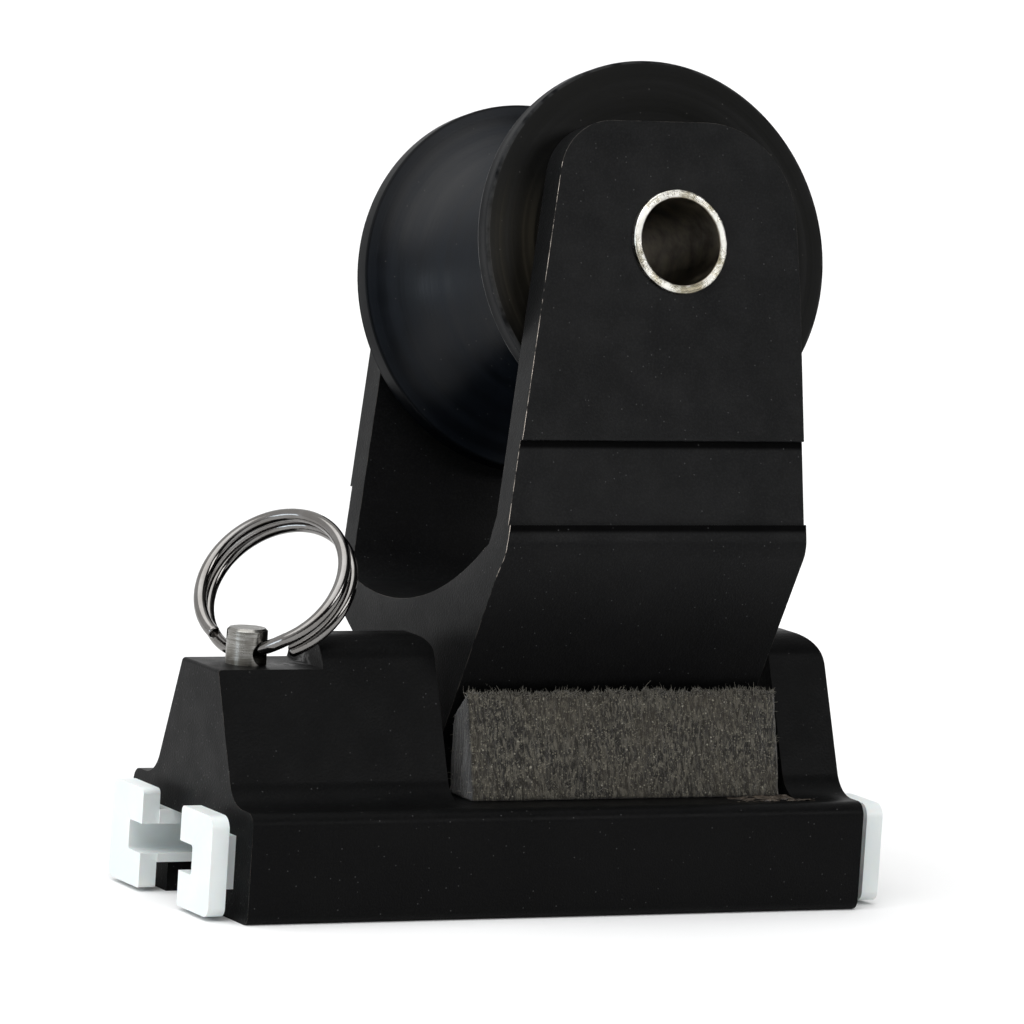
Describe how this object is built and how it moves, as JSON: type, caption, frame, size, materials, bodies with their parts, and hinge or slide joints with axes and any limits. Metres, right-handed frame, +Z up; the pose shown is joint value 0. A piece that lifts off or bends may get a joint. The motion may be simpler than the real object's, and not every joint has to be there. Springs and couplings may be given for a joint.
{
  "type": "roller track car",
  "caption": "Sliding track car with a tilting fork, a waisted roller on a hollow axle, felt pads, and a sprung stop pin with a split ring.",
  "frame": {"origin": "centre of the car's underside, in the middle of the track slot's mouth", "axes": "+X along the track towards the roller's end, +Y across the track, +Z up; the fork leans towards +Y at rest"},
  "size_m": [0.132, 0.0858, 0.148],
  "materials": {
    "black_anodised": "black anodised aluminium, fine satin",
    "black_roller": "turned and black anodised, satin with fine rings",
    "white_acetal": "moulded acetal, slightly translucent",
    "natural_acetal": "machined acetal",
    "stainless": "turned stainless steel",
    "stainless_dark": "plain stainless steel",
    "tube_stainless": "drawn tube, bright cut end",
    "ring_stainless": "polished stainless wire",
    "spring_steel": "spring wire",
    "grey_felt": "dense grey felt with a streaked cut face"
  },
  "bodies": {
    "car": {"car_body": "black_anodised", "liner_near": "white_acetal", "liner_far": "white_acetal", "fork_pivot_pin": "stainless", "pivot_lock_screw": "stainless_dark", "pad_near": "grey_felt", "pad_far": "grey_felt", "plunger_spring": "spring_steel"},
    "fork": {"fork": "black_anodised", "pivot_bush_left": "natural_acetal", "pivot_bush_right": "natural_acetal", "axle_tube": "tube_stainless", "thrust_washer_near": "natural_acetal", "thrust_washer_far": "natural_acetal"},
    "roller": {"roller": "black_roller", "roller_bush_near": "natural_acetal", "roller_bush_far": "natural_acetal"},
    "plunger": {"plunger_pin": "stainless", "plunger_clip": "stainless_dark", "plunger_washer": "stainless"},
    "ring": {"split_ring": "ring_stainless"}
  },
  "joints": [
    {"name": "fork_tilt", "type": "hinge", "parent": "car", "child": "fork", "pos_m": [0.015, 0, 0.0228], "axis": [1, 0, 0], "range_deg": [0, 28.94], "deforming": ["pad_near"]},
    {"name": "roller_spin", "type": "hinge", "parent": "fork", "child": "roller", "pos_m": [0.0226, 0.02224, 0.10898], "axis": [0, 0.9683, -0.2499], "continuous": true},
    {"name": "plunger_lift", "type": "slide", "parent": "car", "child": "plunger", "axis": [0, 0, 1], "range_m": [0, 0.0055], "stiffness_N_per_m": 2000, "springref_m": -0.007, "deforming": ["plunger_spring"]},
    {"name": "ring_swing", "type": "hinge", "parent": "plunger", "child": "ring", "pos_m": [-0.0514, 0, 0.0437], "axis": [0.5344, -0.8453, 0], "range_deg": [-17, 106]}
  ]
}
